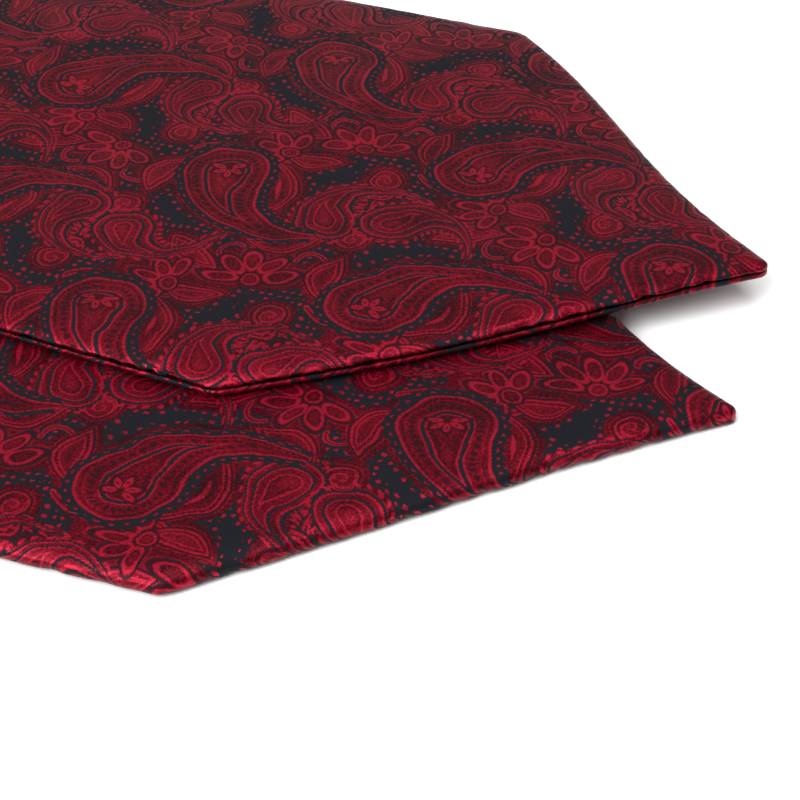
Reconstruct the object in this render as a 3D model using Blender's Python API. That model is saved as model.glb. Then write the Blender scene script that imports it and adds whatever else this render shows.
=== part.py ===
"""A self-tie ascot scarf, folded once at the centre back and laid flat, one blade on the other.

Sizes are in millimetres and become metres where a mesh is made. The garment is worked out in the plan
of the upper blade: x runs along that blade towards its tip, y to its far side, and the middle of its
shoulders is the zero point. A place on a leg of the scarf is given by `along`, the distance behind the
shoulder line (below zero in the point), and `across`, the distance from the centre line, which is
above zero on the near side. The finished scarf is moved so that its box stands centred on the origin.
"""

import math

import bmesh
import bpy
import numpy as np

MM = 0.001

# The cut: each blade has two panels, and one pleated neckband joins the blades.
SHOULDER_WIDTH = 150.0
POINT_DEPTH = 81.0
TIP_RADIUS = 2.5
SHOULDER_SOFTNESS = 1.6
SIDE_TAPER = math.radians(0.9)
NARROWING_FROM = 150.0
BAND_FROM = 300.0
BAND_WIDTH = 42.0

# The layers: a padded top panel whose edge rolls down, and an under panel whose edge shows as a bead.
TOP_WALL = 2.0
UNDER_WALL = 1.7
SEAM_GAP = 0.3
BLADE_THICKNESS = UNDER_WALL + SEAM_GAP + TOP_WALL
LAYER_GAP = 0.3

# The knife pleats: four strips in the band, each lapping the next, fading out into the blades.
PLEAT_LINES = (-0.5, 0.0, 0.5)
PLEAT_LAP = 0.02
PLEAT_STEP = 1.0
PLEATS_FADE = 130.0
UNDERSIDE_PLEATS_FROM = 320.0
UNDERSIDE_PLEATS_END = 395.0

# How the two legs lie, and the fold at the centre back.
LOWER_SHOULDERS = (6.6, -46.8)
LOWER_YAW = math.radians(6.1)
FOLD_AT = np.array([-517.0, -32.0])
UPPER_FOLD_HEADING = math.radians(190.0)
LOWER_FOLD_HEADING = math.radians(165.0)
FOLD_RADIUS = 0.5
FOLD_STRAIGHT = 24.0
BEND_REACH = 0.38
LINE_STEP = 1.2
FOLD_STEPS = 8
FOLD_RISE_OVER = 45.0
BLADE_SAG_OVER = 130.0
BAND_SAG_OVER = 26.0

# The cloth isn't quite true: the upper tip lifts a little, and each edge of a point bows and sways.
TIP_LIFT = 2.1
TIP_LIFT_FROM = 25.0
TIP_LIFT_OVER = 60.0
UPPER_EDGES = {"near": {"bow": 2.1, "sway": 0.4}, "far": {"bow": -1.3, "sway": 2.2}}
LOWER_EDGES = {"near": {"bow": -1.0, "sway": 0.5}, "far": {"bow": -2.2, "sway": 2.9}}

# An edge from its underside to its top: how far in from the outline, and the share of the wall's height.
TOP_EDGE = (
    {"inset": 0.0, "height": 0.0},
    {"inset": 0.0, "height": 0.28},
    {"inset": 0.35, "height": 0.62},
    {"inset": 1.1, "height": 0.87},
    {"inset": 2.7, "height": 1.0},
)
UNDER_EDGE = (
    {"inset": 0.5, "height": 0.0},
    {"inset": -0.1, "height": 0.3},
    {"inset": -0.1, "height": 0.65},
    {"inset": 0.5, "height": 1.0},
)
TUCKED_EDGE = (
    {"inset": 1.6, "height": 0.0},
    {"inset": 1.3, "height": 0.3},
    {"inset": 1.3, "height": 0.7},
    {"inset": 1.6, "height": 1.0},
)
ROLLED_EDGE = (
    {"inset": 0.9, "height": 0.0},
    {"inset": 0.8, "height": -0.8},
    {"inset": 0.3, "height": -0.8},
    {"inset": 0.0, "height": -0.4},
    {"inset": 0.0, "height": 0.28},
    {"inset": 0.35, "height": 0.62},
    {"inset": 1.1, "height": 0.87},
    {"inset": 2.7, "height": 1.0},
)
BAND_EDGE = (
    {"inset": 0.6, "height": 0.0},
    {"inset": 0.0, "height": 0.25},
    {"inset": 0.0, "height": 0.6},
    {"inset": 0.6, "height": 0.88},
    {"inset": 2.0, "height": 1.0},
)
ROLL_WIDTH = 2.7
ROLL_MOST = 0.75

# The stations of the sections along a blade, and along each leg of the neckband.
POINT_STATIONS = (0.06, 0.4, 0.9, 1.9, 3.5, 6.5, 12.0, 22.0, 36.0, 52.0, 66.0, 74.0)
SHOULDER_STATIONS = (-3.0, 0.0, 3.5, 12.0)
BLADE_STATIONS = (45.0, 85.0, 125.0, 150.0, 170.0, 188.0, 205.0, 221.0, 237.0, 253.0, 269.0, 284.0)
BAND_SECTION_STEP = 17.0
FOLD_SECTIONS = (18.0, 12.0, 6.0, 2.0)


def smooth(x):
    """0 below 0, 1 above 1, and a soft S between."""
    x = np.clip(x, 0.0, 1.0)
    return x * x * (3.0 - 2.0 * x)


def soft_min(a, b, softness):
    """The lesser of two values, rounded over where they cross."""
    h = np.clip(0.5 + 0.5 * (b - a) / softness, 0.0, 1.0)
    return b + (a - b) * h - softness * h * (1.0 - h)


def direction(angle):
    return np.array([math.cos(angle), math.sin(angle)])


class Leg:
    """The centre line of one half of the scarf: straight down the blade, then one bend to the fold."""

    def __init__(self, shoulders, heading, end, end_heading, edges):
        self.edges = edges
        start = np.array(shoulders) + NARROWING_FROM * direction(heading)
        bend_end = np.array(end) - FOLD_STRAIGHT * direction(end_heading)
        span = np.linalg.norm(bend_end - start)
        reach = span * BEND_REACH
        leaving = start + reach * direction(heading)
        arriving = bend_end - reach * direction(end_heading)
        u = np.linspace(0.0, 1.0, int(span / LINE_STEP))[:, None]
        bend = sum(
            math.comb(3, k) * u**k * (1.0 - u) ** (3 - k) * handle
            for k, handle in enumerate((start, leaving, arriving, bend_end))
        )
        blade = np.linspace(-POINT_DEPTH, NARROWING_FROM, int((NARROWING_FROM + POINT_DEPTH) / LINE_STEP))
        before = np.array(shoulders) + blade[:, None] * direction(heading)
        last = np.linspace(0.0, FOLD_STRAIGHT, int(FOLD_STRAIGHT / LINE_STEP))
        after = bend_end + last[:, None] * direction(end_heading)
        points = np.concatenate([before[:-1], bend, after[1:]])
        steps = np.linalg.norm(np.diff(points, axis=0), axis=1)
        self.stations = np.concatenate([[0.0], np.cumsum(steps)]) - POINT_DEPTH
        self.points = points
        ahead = np.gradient(points, axis=0)
        self.headings = np.unwrap(np.arctan2(ahead[:, 1], ahead[:, 0]))
        self.length = self.stations[-1]

    def place(self, along, across):
        """The plan position of a place on the leg, with the edges of its point off their straight lines."""
        down_point = np.clip((along + POINT_DEPTH) / POINT_DEPTH, 1e-3, 1.0)
        near, far = (
            edge["bow"] * np.sin(math.pi * down_point) - edge["sway"] * np.sin(2.0 * math.pi * down_point)
            for edge in (self.edges["near"], self.edges["far"])
        )
        moved = np.where(across < 0.0, far, near)
        across = across * (1.0 + moved / (0.5 * SHOULDER_WIDTH * down_point))
        x = np.interp(along, self.stations, self.points[:, 0])
        y = np.interp(along, self.stations, self.points[:, 1])
        heading = np.interp(along, self.stations, self.headings)
        return np.stack([x - across * np.sin(heading), y + across * np.cos(heading)], axis=-1)

    def find(self, place):
        """The along and across of the nearest place on the centre line."""
        offsets = place[..., None, :] - self.points
        nearest = np.argmin((offsets**2).sum(-1), axis=-1)
        heading = self.headings[nearest]
        offset = place - self.points[nearest]
        ahead = offset[..., 0] * np.cos(heading) + offset[..., 1] * np.sin(heading)
        across = -offset[..., 0] * np.sin(heading) + offset[..., 1] * np.cos(heading)
        return self.stations[nearest] + ahead, across


POINT_SLOPE = 0.5 * SHOULDER_WIDTH / POINT_DEPTH
POINT_ANGLE = math.atan(POINT_SLOPE)
TIP_CENTRE = -POINT_DEPTH + TIP_RADIUS / math.sin(POINT_ANGLE)
TIP_TANGENT = TIP_CENTRE - TIP_RADIUS * math.sin(POINT_ANGLE)
TIP_FRONT = TIP_CENTRE - TIP_RADIUS


def side_half_width(along):
    """Half the width behind the shoulders, where the blade narrows into the band."""
    blade = 0.5 * SHOULDER_WIDTH - np.maximum(along, 0.0) * math.tan(SIDE_TAPER)
    share = smooth((along - NARROWING_FROM) / (BAND_FROM - NARROWING_FROM))
    return blade + (0.5 * BAND_WIDTH - blade) * share


def half_width(along):
    """Half the width of a leg, with the rounded tip and the softened shoulders."""
    point = (along + POINT_DEPTH) * POINT_SLOPE
    tip = np.sqrt(np.maximum(TIP_RADIUS**2 - (along - TIP_CENTRE) ** 2, 0.0))
    body = soft_min(point, side_half_width(along), SHOULDER_SOFTNESS)
    return np.where(along < TIP_TANGENT, tip, body)


def edge_distance(along, across):
    """How far a place lies inside a leg's outline; below zero outside it."""
    side = side_half_width(along) - np.abs(across)
    point = ((along + POINT_DEPTH) * POINT_SLOPE - np.abs(across)) * math.cos(POINT_ANGLE)
    return soft_min(point, side, SHOULDER_SOFTNESS)


def pleat_rise(share):
    """The height of the lapped strips across the band: each rises to its fold and drops to the next."""
    lines = np.array((-1.0,) + PLEAT_LINES + (1.0,))
    height = np.zeros_like(share)
    for start, end in zip(lines[:-1], lines[1:]):
        rising = (share - start - PLEAT_LAP) / (end - start - 2.0 * PLEAT_LAP)
        inside = (share >= start + PLEAT_LAP) & (share <= end - PLEAT_LAP)
        height = np.where(inside, rising, height)
        falling = (share > end - PLEAT_LAP) & (share < end + PLEAT_LAP)
        height = np.where(falling, 0.5 - 0.5 * (share - end) / PLEAT_LAP, height)
    return height


def pleat_depth(along):
    """How high the pleats stand: nothing in the blade, and their full step at the band."""
    return PLEAT_STEP * smooth((along - BAND_FROM + PLEATS_FADE) / PLEATS_FADE)


def underside_pleat_depth(along):
    """On the lower leg's top the pleats die away again before the fold."""
    fading = smooth((along - UNDERSIDE_PLEATS_FROM) / (UNDERSIDE_PLEATS_END - UNDERSIDE_PLEATS_FROM))
    return pleat_depth(along) * (1.0 - fading)


FOLD_NORMAL_ANGLE = 0.5 * (UPPER_FOLD_HEADING + LOWER_FOLD_HEADING)
FOLD_SKEW = math.tan(FOLD_NORMAL_ANGLE - LOWER_FOLD_HEADING)
FOLD_ALONG = direction(FOLD_NORMAL_ANGLE + 0.5 * math.pi)
UPPER_FOLD_AT = FOLD_AT - math.pi * FOLD_RADIUS * FOLD_SKEW * FOLD_ALONG

LOWER = Leg(LOWER_SHOULDERS, math.pi + LOWER_YAW, FOLD_AT, LOWER_FOLD_HEADING, LOWER_EDGES)
UPPER = Leg((0.0, 0.0), math.pi, UPPER_FOLD_AT, UPPER_FOLD_HEADING, UPPER_EDGES)


def support_height(along, across):
    """The height of the upper leg's underside: over the lower leg, or sinking past its outline."""
    lower_along, lower_across = LOWER.find(UPPER.place(along, across))
    outside = np.maximum(-edge_distance(lower_along, lower_across), 0.0)
    banded = smooth((along - NARROWING_FROM) / (BAND_FROM - NARROWING_FROM))
    reach = BLADE_SAG_OVER + (BAND_SAG_OVER - BLADE_SAG_OVER) * banded
    lower_top = BLADE_THICKNESS + underside_pleat_depth(lower_along) + LAYER_GAP
    near_fold = smooth(1.0 - (UPPER.length - along) / FOLD_RISE_OVER)
    fold_rise = (2.0 * FOLD_RADIUS - LAYER_GAP) * near_fold
    lift = TIP_LIFT * smooth(-(along + TIP_LIFT_FROM) / TIP_LIFT_OVER)
    return lower_top * (1.0 - smooth(outside / reach)) + fold_rise + lift


PLEATED_COLUMNS = tuple(
    sorted(
        [-0.8, -0.27, 0.27, 0.8]
        + [line - PLEAT_LAP for line in PLEAT_LINES]
        + [line + PLEAT_LAP for line in PLEAT_LINES]
    )
)
PLAIN_COLUMNS = (-1.0, -0.8, -0.53, -0.27, 0.0, 0.27, 0.53, 0.8, 1.0)


def section(along, edge, over, under):
    """One section of a wall at a station, as (across, share of the wall) for each of its points.

    It runs up the near edge, over the outer face, down the far edge and back along the inner face.
    """
    half = float(half_width(np.array(along)))
    lean = math.cos(POINT_ANGLE) if along < 0.0 else 1.0
    rolled = min(ROLL_WIDTH / lean, ROLL_MOST * half)
    near = [(half - rolled * row["inset"] / ROLL_WIDTH, row["height"]) for row in edge]
    far = [(-across, height) for across, height in reversed(near)]
    outer_face = [(share * (half - rolled), 1.0) for share in reversed(over)]
    inner_face = [(share * (half - rolled), 0.0) for share in under]
    return np.array(near + outer_face + far + inner_face)


def loft(name, rings, across):
    """A closed solid through rings of points in millimetres, with its first and last ring filled.

    Each square between two sections is split along the same diagonal on every wall, whichever way its
    section runs, so that walls which lie on each other bend at the same lines.
    """
    bm = bmesh.new()
    rows = [[bm.verts.new(point * MM) for point in ring] for ring in rings]
    count = len(rows[0])
    for row, following in zip(rows[:-1], rows[1:]):
        for i in range(count):
            j = (i + 1) % count
            if across[j] < across[i]:
                bm.faces.new((row[i], row[j], following[j]))
                bm.faces.new((row[i], following[j], following[i]))
            else:
                bm.faces.new((row[i], row[j], following[i]))
                bm.faces.new((row[j], following[j], following[i]))
    ends = [bm.faces.new(rows[0]), bm.faces.new(rows[-1])]
    bmesh.ops.triangulate(bm, faces=ends)
    bmesh.ops.recalc_face_normals(bm, faces=bm.faces)
    mesh = bpy.data.meshes.new(name)
    bm.to_mesh(mesh)
    bm.free()
    mesh.shade_smooth()
    mesh.set_sharp_from_angle(angle=math.radians(50.0))
    return mesh


def blade_stations():
    """Where the sections of a blade stand, from the rounded tip to the neckband."""
    point = [TIP_FRONT + step for step in POINT_STATIONS]
    return point + list(SHOULDER_STATIONS) + list(BLADE_STATIONS) + [BAND_FROM - 0.5 * SEAM_GAP]


def no_pleats(along):
    return np.zeros_like(along)


def on_floor(along, across):
    return np.zeros_like(across)


def blade_rings(panel):
    """The sections of one panel of a blade, and where across the leg their points lie."""
    leg = panel["leg"]
    rings = []
    for along in blade_stations():
        across, share = section(along, panel["edge"], *panel["columns"]).T
        along_all = np.full_like(across, along)
        pleated = panel["pleats"](along_all) * pleat_rise(across / half_width(along_all))
        wall = share * panel["wall"] + np.maximum(share, 0.0) * pleated
        height = panel["base"](along_all, across) + panel["floor"] + wall
        rings.append(np.column_stack([leg.place(along_all, across), height]))
    return rings, across


def skewed_along(leg, distance_to_fold, across):
    """Stations that turn from square across the leg to in line with the fold as the fold comes near."""
    skew = smooth(1.0 - (distance_to_fold - FOLD_SECTIONS[-1]) / (FOLD_STRAIGHT - FOLD_SECTIONS[-1]))
    lean = FOLD_SKEW if leg is LOWER else -FOLD_SKEW
    return leg.length - distance_to_fold - across * lean * skew


def fold_distances(leg):
    """How far before the fold the sections of the neckband stand on one leg."""
    run = leg.length - BAND_FROM - 0.5 * SEAM_GAP
    steps = int(round((run - FOLD_STRAIGHT) / BAND_SECTION_STEP))
    return list(np.linspace(run, FOLD_STRAIGHT, steps + 1)) + list(FOLD_SECTIONS)


def neckband_rings(panel):
    """The neckband from the lower blade, round the fold, to the upper blade.

    Its outer face, the face of the scarf, lies down on the lower leg and up on the upper one.
    """
    across, outward = section(BAND_FROM, panel["edge"], *panel["columns"]).T
    inward = 1.0 - outward
    rise = pleat_rise(across / (0.5 * BAND_WIDTH))
    rings = []
    for distance in fold_distances(LOWER):
        along = skewed_along(LOWER, distance, across)
        height = inward * (BLADE_THICKNESS + underside_pleat_depth(along) * rise)
        rings.append(np.column_stack([LOWER.place(along, across), height]))
    slide = across / math.cos(FOLD_NORMAL_ANGLE - LOWER_FOLD_HEADING)
    for step in range(FOLD_STEPS + 1):
        turned = step / FOLD_STEPS
        turn = math.pi * turned
        radius = FOLD_RADIUS + outward * (BLADE_THICKNESS + turned * PLEAT_STEP * rise)
        along_fold = slide - FOLD_RADIUS * turn * FOLD_SKEW
        plan = FOLD_AT + radius[:, None] * math.sin(turn) * direction(FOLD_NORMAL_ANGLE)
        plan = plan + along_fold[:, None] * FOLD_ALONG
        rings.append(np.column_stack([plan, BLADE_THICKNESS + FOLD_RADIUS - radius * math.cos(turn)]))
    for distance in reversed(fold_distances(UPPER)):
        along = skewed_along(UPPER, distance, across)
        wall = outward * (BLADE_THICKNESS + pleat_depth(along) * rise)
        rings.append(np.column_stack([UPPER.place(along, across), support_height(along, across) + wall]))
    return rings, across


TOP_FLOOR = UNDER_WALL + SEAM_GAP
TOP_COLUMNS = (PLEATED_COLUMNS, PLAIN_COLUMNS)
UNDER_COLUMNS = (PLAIN_COLUMNS, PLAIN_COLUMNS)
BAND_COLUMNS = (PLEATED_COLUMNS, PLEATED_COLUMNS)

# Each piece of the cut: how its wall is shaped, where it lies, and its colour and roughness.
PANELS = {
    "upper_blade_front": {
        "leg": UPPER,
        "base": support_height,
        "floor": TOP_FLOOR,
        "wall": TOP_WALL,
        "edge": TOP_EDGE,
        "columns": TOP_COLUMNS,
        "pleats": pleat_depth,
        "colour": (0.20, 0.008, 0.020, 1.0),
        "roughness": 0.42,
    },
    "upper_blade_back": {
        "leg": UPPER,
        "base": support_height,
        "floor": 0.0,
        "wall": UNDER_WALL,
        "edge": UNDER_EDGE,
        "columns": UNDER_COLUMNS,
        "pleats": no_pleats,
        "colour": (0.13, 0.006, 0.016, 1.0),
        "roughness": 0.45,
    },
    "lower_blade_back": {
        "leg": LOWER,
        "base": on_floor,
        "floor": TOP_FLOOR,
        "wall": TOP_WALL,
        "edge": ROLLED_EDGE,
        "columns": TOP_COLUMNS,
        "pleats": underside_pleat_depth,
        "colour": (0.18, 0.008, 0.020, 1.0),
        "roughness": 0.42,
    },
    "lower_blade_front": {
        "leg": LOWER,
        "base": on_floor,
        "floor": 0.0,
        "wall": UNDER_WALL,
        "edge": TUCKED_EDGE,
        "columns": UNDER_COLUMNS,
        "pleats": no_pleats,
        "colour": (0.12, 0.006, 0.016, 1.0),
        "roughness": 0.45,
    },
    "neckband": {
        "edge": BAND_EDGE,
        "columns": BAND_COLUMNS,
        "colour": (0.16, 0.007, 0.018, 1.0),
        "roughness": 0.44,
    },
}


def cloth_material(name, colour, roughness):
    material = bpy.data.materials.new(name)
    material.use_nodes = True
    shader = material.node_tree.nodes["Principled BSDF"]
    shader.inputs["Base Color"].default_value = colour
    shader.inputs["Roughness"].default_value = roughness
    shader.inputs["Metallic"].default_value = 0.0
    return material


def main():
    for old in list(bpy.data.objects):
        bpy.data.objects.remove(old, do_unlink=True)
    scarf = bpy.data.collections.new("ascot_scarf")
    bpy.context.scene.collection.children.link(scarf)
    walls = {
        name: neckband_rings(panel) if name == "neckband" else blade_rings(panel)
        for name, panel in PANELS.items()
    }
    cloud = np.concatenate([ring for rings, _ in walls.values() for ring in rings])
    origin = 0.5 * (cloud.min(axis=0) + cloud.max(axis=0))
    origin[2] = cloud[:, 2].min()
    for name, (rings, across) in walls.items():
        mesh = loft(name, [ring - origin for ring in rings], across)
        mesh.materials.append(cloth_material(name, PANELS[name]["colour"], PANELS[name]["roughness"]))
        scarf.objects.link(bpy.data.objects.new(name, mesh))


main()
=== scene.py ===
"""The looks of a folded self-tie ascot scarf in red and black paisley jacquard.

Sizes are in millimetres and become metres where a mesh is made. As in the part, the cloth is worked out
in the plan of the upper blade, where a place on a leg is given by `along`, the distance behind the
shoulder line, and `across`, the distance from the centre line, above zero on the near side.
"""

import math

import bmesh
import bpy
import numpy as np
from mathutils import Matrix, Vector
from mathutils.bvhtree import BVHTree


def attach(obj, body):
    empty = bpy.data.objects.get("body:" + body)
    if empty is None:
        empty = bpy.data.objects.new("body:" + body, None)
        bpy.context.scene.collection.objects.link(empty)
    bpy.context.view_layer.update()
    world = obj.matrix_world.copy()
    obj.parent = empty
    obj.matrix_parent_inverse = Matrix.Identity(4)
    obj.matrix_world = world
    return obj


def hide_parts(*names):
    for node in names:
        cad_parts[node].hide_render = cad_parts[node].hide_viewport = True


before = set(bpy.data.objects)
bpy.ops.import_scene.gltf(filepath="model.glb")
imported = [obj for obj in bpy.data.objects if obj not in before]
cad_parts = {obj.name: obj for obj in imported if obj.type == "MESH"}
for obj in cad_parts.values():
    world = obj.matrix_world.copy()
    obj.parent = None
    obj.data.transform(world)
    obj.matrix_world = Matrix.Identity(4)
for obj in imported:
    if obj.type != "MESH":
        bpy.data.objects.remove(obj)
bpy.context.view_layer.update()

MM = 0.001

# The cut and the layers, as in the part.
SHOULDER_WIDTH = 150.0
POINT_DEPTH = 81.0
TIP_RADIUS = 2.5
SHOULDER_SOFTNESS = 1.6
SIDE_TAPER = math.radians(0.9)
NARROWING_FROM = 150.0
BAND_FROM = 300.0
BAND_WIDTH = 42.0
TOP_WALL = 2.0
UNDER_WALL = 1.7
SEAM_GAP = 0.3
TOP_FLOOR = UNDER_WALL + SEAM_GAP
BLADE_THICKNESS = TOP_FLOOR + TOP_WALL
LAYER_GAP = 0.3
PLEAT_LINES = (-0.5, 0.0, 0.5)
PLEAT_LAP = 0.02
PLEAT_STEP = 1.0
PLEATS_FADE = 130.0
UNDERSIDE_PLEATS_FROM = 320.0
UNDERSIDE_PLEATS_END = 395.0

# How the two legs lie, and the fold at the centre back, as in the part.
LOWER_SHOULDERS = (6.6, -46.8)
LOWER_YAW = math.radians(6.1)
FOLD_AT = np.array([-517.0, -32.0])
UPPER_FOLD_HEADING = math.radians(190.0)
LOWER_FOLD_HEADING = math.radians(165.0)
FOLD_RADIUS = 0.5
FOLD_STRAIGHT = 24.0
BEND_REACH = 0.38
LINE_STEP = 1.2
FOLD_RISE_OVER = 45.0
BLADE_SAG_OVER = 130.0
BAND_SAG_OVER = 26.0
TIP_LIFT = 2.1
TIP_LIFT_FROM = 25.0
TIP_LIFT_OVER = 60.0
UPPER_EDGES = {"near": {"bow": 2.1, "sway": 0.4}, "far": {"bow": -1.3, "sway": 2.2}}
LOWER_EDGES = {"near": {"bow": -1.0, "sway": 0.5}, "far": {"bow": -2.2, "sway": 2.9}}
PLAN_ORIGIN = np.array([-218.397, -29.964, 0.0])

# How finely the cloth is made.
TIP_ROWS_FROM = 0.02
TIP_ROWS_RUN = 2.7
FINE_STEP = 0.8
FINE_ROWS_TO = 20.0
BLADE_STEP = 1.25
NECK_STEP = 2.2
NECK_ROWS = 66
ACROSS_STEP = 1.35
ROLL_TURNS = 13
TUCK_TURNS = 5
CLOTH_WALL = 0.55
MERGE_WITHIN = 0.002
SEARCH_PARTS = 24

# The neckband's section and its sections' spacing.
BAND_EDGE = {"widest": 0.4, "tuck": 0.7, "roll": 2.0}
BAND_TURNS = 6
BAND_ACROSS_STEP = 0.42
BAND_BACK_COLUMNS = 28
BAND_STEP = 1.9
BAND_FOLD_STEPS = 25
FOLD_MARGIN = 2.0

# The rolled edges. A fold stands out most at `widest`; it rolls in over the top and tucks in below.
UPPER_FOLD = {
    "foot": TOP_FLOOR, "widest": TOP_FLOOR + 0.56, "top": BLADE_THICKNESS,
    "roll": 5.8, "tuck": 0.7, "fall": 0.6,
}
LOWER_FOLD = {"foot": 0.42, "widest": 1.9, "top": BLADE_THICKNESS, "roll": 4.6, "tuck": 0.8, "fall": 0.5}
BEAD = {"foot": 0.03, "widest": 0.5, "top": UNDER_WALL, "roll": 2.2, "tuck": 0.5, "fall": 0.0}
EDGE_FALL_OVER = 5.0
EDGES_SHARE = 0.75
BEAD_STANDS_OUT = 0.12
TUCKED_IN = 1.35
JOIN_SHOWS = 0.06

# How strongly the seam pulls on the near and on the far side, and how far from a shoulder it is calm.
NEAR_PULL = 1.15
FAR_PULL = 0.3
SHOULDER_CALM = 8.0

# Main creases and swells of the cloth: each is a soft ridge, or a trough where its height is below zero.
CREASES_FADE_IN = 12.0
UPPER_CREASES = (
    {"along": -30.0, "across": 14.0, "heading": 62.0, "length": 34.0, "width": 9.0, "height": 0.35},
    {"along": -52.0, "across": -10.0, "heading": -40.0, "length": 22.0, "width": 6.0, "height": -0.25},
    {"along": 8.0, "across": 46.0, "heading": 20.0, "length": 26.0, "width": 8.0, "height": -0.35},
    {"along": 22.0, "across": -22.0, "heading": 80.0, "length": 46.0, "width": 13.0, "height": 0.4},
    {"along": 66.0, "across": 20.0, "heading": 66.0, "length": 40.0, "width": 10.0, "height": -0.35},
    {"along": 92.0, "across": -34.0, "heading": 98.0, "length": 36.0, "width": 9.0, "height": 0.35},
    {"along": 138.0, "across": 8.0, "heading": 84.0, "length": 48.0, "width": 10.0, "height": 0.4},
)
LOWER_CREASES = (
    {"along": -34.0, "across": 26.0, "heading": 50.0, "length": 24.0, "width": 6.0, "height": 0.3},
    {"along": -12.0, "across": 52.0, "heading": 24.0, "length": 20.0, "width": 5.0, "height": -0.3},
    {"along": 14.0, "across": 60.0, "heading": 74.0, "length": 14.0, "width": 5.0, "height": -0.3},
    {"along": 52.0, "across": 50.0, "heading": 70.0, "length": 24.0, "width": 7.0, "height": 0.3},
    {"along": 104.0, "across": 56.0, "heading": 100.0, "length": 20.0, "width": 6.0, "height": -0.25},
)

# The pull of the seam: short puckers that start at it, uneven in place, length, width and depth.
UPPER_PUCKERS = {
    "seed": 11, "spacing": (3.2, 8.5), "length": (3.0, 9.5), "width": (0.95, 1.7), "depth": (0.1, 0.5),
}
LOWER_PUCKERS = {
    "seed": 23, "spacing": (4.0, 11.0), "length": (3.0, 10.0), "width": (0.8, 2.0), "depth": (0.08, 0.4),
}
BEAD_PUCKERS = {
    "seed": 37, "spacing": (2.0, 5.0), "length": (2.0, 3.0), "width": (0.4, 0.9), "depth": (0.05, 0.2),
}
PUCKERS_LEAN = 0.5

# The camera, worked out from the photo's even repeat and its outlines.
CAMERA_FOOT = (375.2, -307.0)
CAMERA_HEIGHT = 234.0
CAMERA_HEADING = math.radians(114.643)
CAMERA_PITCH = math.radians(37.18)
CAMERA_ROLL = math.radians(-0.65)
LENS = 95.53
SENSOR_WIDTH = 36.0
CLIP_FROM = 10.0

# The floor and the lights, in metres.
FLOOR_HALF_WIDTH = 6.0
FLOOR_DROP = 0.0002
FLOOR_LOOKS = {"Base Color": (0.9, 0.9, 0.9, 1.0), "Roughness": 0.8}
WORLD_COLOUR = (1.0, 1.0, 1.0, 1.0)
WORLD_STRENGTH = 0.32
LIGHTS_AIM = Vector((0.2, 0.0, 0.0))
SOFT_LIGHTS = (
    {"name": "overhead_soft", "place": (0.1, -0.1, 1.5), "watts": 20.0, "width": 1.4},
    {"name": "front_soft", "place": (-0.05, -1.1, 0.95), "watts": 29.0, "width": 0.9},
)

# The repeat of the cloth, in millimetres, and the tones of its weave from the ground to the outlines.
REPEAT_ALONG = 95.0
REPEAT_ACROSS = 52.0
BLACK = 0.0
LINE = 0.17
DARK = 0.34
WINE = 0.5
MID = 0.66
BRIGHT = 1.0

# Each motif's bands: the tone at each distance out from its outline. The last one fades out.
BANDS = {
    "big paisley": (
        (-6.9, WINE), (-6.0, DARK), (-5.5, DARK), (-5.3, BRIGHT), (-5.1, BRIGHT), (-4.95, BLACK),
        (-4.3, BLACK), (-4.15, BRIGHT), (-3.95, BRIGHT), (-3.8, WINE), (-1.75, WINE), (-1.6, MID),
        (-1.45, MID), (-1.3, DARK), (-1.1, DARK), (-0.6, WINE), (-0.4, BRIGHT), (-0.1, BRIGHT),
        (0.08, BLACK), (0.8, BLACK), (0.95, BLACK),
    ),
    "hooked paisley": (
        (-5.6, MID), (-4.6, WINE), (-4.3, DARK), (-4.1, DARK), (-3.95, BRIGHT), (-3.75, BRIGHT),
        (-3.6, WINE), (-2.45, WINE), (-2.3, BRIGHT), (-2.1, BRIGHT), (-1.95, BLACK), (-1.5, BLACK),
        (-1.35, WINE), (-0.6, WINE), (-0.4, BRIGHT), (-0.1, BRIGHT), (0.08, BLACK), (0.5, BLACK),
        (0.65, BLACK),
    ),
    "petal": (
        (-1.2, WINE), (-0.65, DARK), (-0.46, BRIGHT), (-0.14, BRIGHT), (0.05, LINE), (0.3, LINE),
        (0.45, LINE),
    ),
    "leaf": (
        (-3.8, BRIGHT), (-3.4, BRIGHT), (-3.2, DARK), (-2.3, WINE), (-1.6, WINE), (-1.45, BRIGHT),
        (-1.25, BRIGHT), (-1.1, DARK), (-0.6, WINE), (-0.4, BRIGHT), (-0.1, BRIGHT), (0.08, LINE),
        (0.5, LINE), (0.65, LINE),
    ),
    "head": (
        (-2.9, MID), (-1.2, WINE), (-0.55, DARK), (-0.38, BRIGHT), (-0.1, BRIGHT), (0.08, LINE),
        (0.5, LINE), (0.65, LINE),
    ),
    "line": ((0.0, BRIGHT), (0.16, BRIGHT), (0.34, DARK), (0.5, DARK)),
    "stem": (
        (0.0, DARK), (0.15, WINE), (0.3, BRIGHT), (0.5, BRIGHT), (0.68, BLACK), (1.0, BLACK),
        (1.15, BLACK),
    ),
    "bead": ((-0.1, BRIGHT), (0.0, BRIGHT), (0.15, BRIGHT)),
    "dark bead": ((-0.1, LINE), (0.0, LINE), (0.15, LINE)),
    "scallop": (
        (-0.8, WINE), (-0.35, WINE), (-0.2, BRIGHT), (0.0, BRIGHT), (0.18, BLACK), (1.0, BLACK),
        (1.2, BLACK),
    ),
    "ground": (
        (0.0, BLACK), (0.5, BLACK), (0.65, MID), (0.85, MID), (1.0, DARK), (1.9, DARK),
        (2.1, BLACK),
    ),
}

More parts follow.
